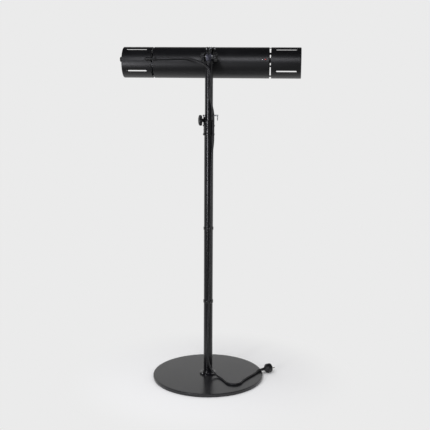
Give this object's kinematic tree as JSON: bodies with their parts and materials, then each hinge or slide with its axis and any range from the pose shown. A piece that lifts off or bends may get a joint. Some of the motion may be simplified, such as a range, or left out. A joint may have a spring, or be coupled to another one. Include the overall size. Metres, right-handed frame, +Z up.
{
  "type": "free-standing infrared patio heater",
  "caption": "Tube-shaped infrared heating head that tilts on a telescopic post with a clamp collar and safety pin, on a heavy round base, with its supply lead.",
  "frame": {"origin": "centre of the anti-slip sheet's underside, on the floor, on the post's axis", "axes": "+Z up along the post, +Y the side that the heater warms, +X along the head towards its end without the control knob"},
  "size_m": [0.8053, 0.5, 1.4841],
  "materials": {
    "head_enamel": "satin black enamel",
    "post_paint": "satin black powder coat",
    "base_paint": "semi-gloss black powder coat",
    "anti_slip_rubber": "matt",
    "black_plastic": "fine moulded grain",
    "bracket_alloy": "die-cast, satin",
    "zinc_steel": "bright zinc plate",
    "guard_steel": "bright drawn wire",
    "brass": "turned",
    "reflector_aluminium": "mirror bright",
    "quartz_glass": "clear fused quartz",
    "ceramic": "unglazed steatite",
    "filament_metal": "wound wire, cold",
    "lead_jacket": "extruded rubber jacket"
  },
  "bodies": {
    "base": {"anti_slip_sheet": "anti_slip_rubber", "base_plate": "base_paint", "post_flange": "post_paint", "flange_screw_1": "zinc_steel", "flange_screw_2": "zinc_steel", "flange_screw_3": "zinc_steel", "flange_screw_4": "zinc_steel", "lower_tube": "post_paint", "clamp_collar": "black_plastic", "collar_bush": "black_plastic", "clamp_nut": "brass", "lead_clip_upper": "black_plastic", "lead_clip_lower": "black_plastic", "lead_post": "lead_jacket", "lead_floor": "lead_jacket", "plug_body": "lead_jacket", "plug_pin_left": "brass", "plug_pin_right": "brass"},
    "clamp_pad": {"clamp_shoe": "brass"},
    "clamp_screw": {"clamp_knob": "black_plastic", "clamp_stud": "zinc_steel"},
    "mast": {"upper_tube": "post_paint", "guide_bush": "black_plastic", "mast_cap": "black_plastic", "mast_fork": "bracket_alloy", "tilt_bolt": "zinc_steel", "tilt_washer_left": "zinc_steel", "tilt_washer_right": "zinc_steel", "lead_mast": "lead_jacket"},
    "left_tilt_knob": {"tilt_knob_left": "black_plastic"},
    "right_tilt_knob": {"tilt_knob_right": "black_plastic"},
    "locking_pin": {"safety_pin": "zinc_steel"},
    "pin_ring": {"pull_ring": "zinc_steel"},
    "head": {"housing": "head_enamel", "end_cap_left": "head_enamel", "end_cap_right": "head_enamel", "spacer_ring_left": "head_enamel", "spacer_ring_right": "head_enamel", "bulkhead_left": "zinc_steel", "bulkhead_right": "zinc_steel", "reflector": "reflector_aluminium", "lamp_tube": "quartz_glass", "filament": "filament_metal", "lamp_holder_left": "ceramic", "lamp_holder_right": "ceramic", "guard": "guard_steel", "wire_duct": "zinc_steel", "terminal_block": "ceramic", "rotary_switch": "black_plastic", "cord_gland": "black_plastic", "tilt_tongue": "zinc_steel", "head_saddle": "bracket_alloy", "cross_bolt": "zinc_steel", "cross_nut": "zinc_steel", "lead_head": "lead_jacket"},
    "power_control": {"control_knob": "black_plastic"}
  },
  "joints": [
    {"name": "mast_slide", "type": "slide", "parent": "base", "child": "mast", "axis": [0, 0, 1], "range_m": [0, 0.6]},
    {"name": "clamp_travel", "type": "slide", "parent": "base", "child": "clamp_pad", "axis": [-0.9781, -0.2079, 0], "range_m": [0, 0.00125]},
    {"name": "clamp_turn", "type": "hinge", "parent": "clamp_pad", "child": "clamp_screw", "pos_m": [0, 0, 1.1697], "axis": [-0.9781, -0.2079, 0], "range_deg": [0, 360]},
    {"name": "pin_pull", "type": "slide", "parent": "mast", "child": "locking_pin", "axis": [1, 0, 0], "range_m": [0, 0.07]},
    {"name": "ring_swing", "type": "hinge", "parent": "locking_pin", "child": "pin_ring", "pos_m": [0.0377, 0, 1.191], "axis": [0, 1, 0], "range_deg": [-90, 15]},
    {"name": "head_tilt", "type": "hinge", "parent": "mast", "child": "head", "pos_m": [0, 0, 1.44], "axis": [-1, 0, 0], "range_deg": [-10, 28], "deforming": ["lead_head"]},
    {"name": "left_knob_turn", "type": "hinge", "parent": "mast", "child": "left_tilt_knob", "pos_m": [0, 0, 1.44], "axis": [1, 0, 0], "range_deg": [0, 360]},
    {"name": "right_knob_turn", "type": "hinge", "parent": "mast", "child": "right_tilt_knob", "pos_m": [0, 0, 1.44], "axis": [1, 0, 0], "range_deg": [0, 360]},
    {"name": "control_turn", "type": "hinge", "parent": "head", "child": "power_control", "pos_m": [0, 0.115, 1.429], "axis": [-1, 0, 0], "range_deg": [0, 180]}
  ],
  "couplings": [
    {"joint": "clamp_turn", "follows": "clamp_travel", "rad_per_m": 5026.5}
  ]
}
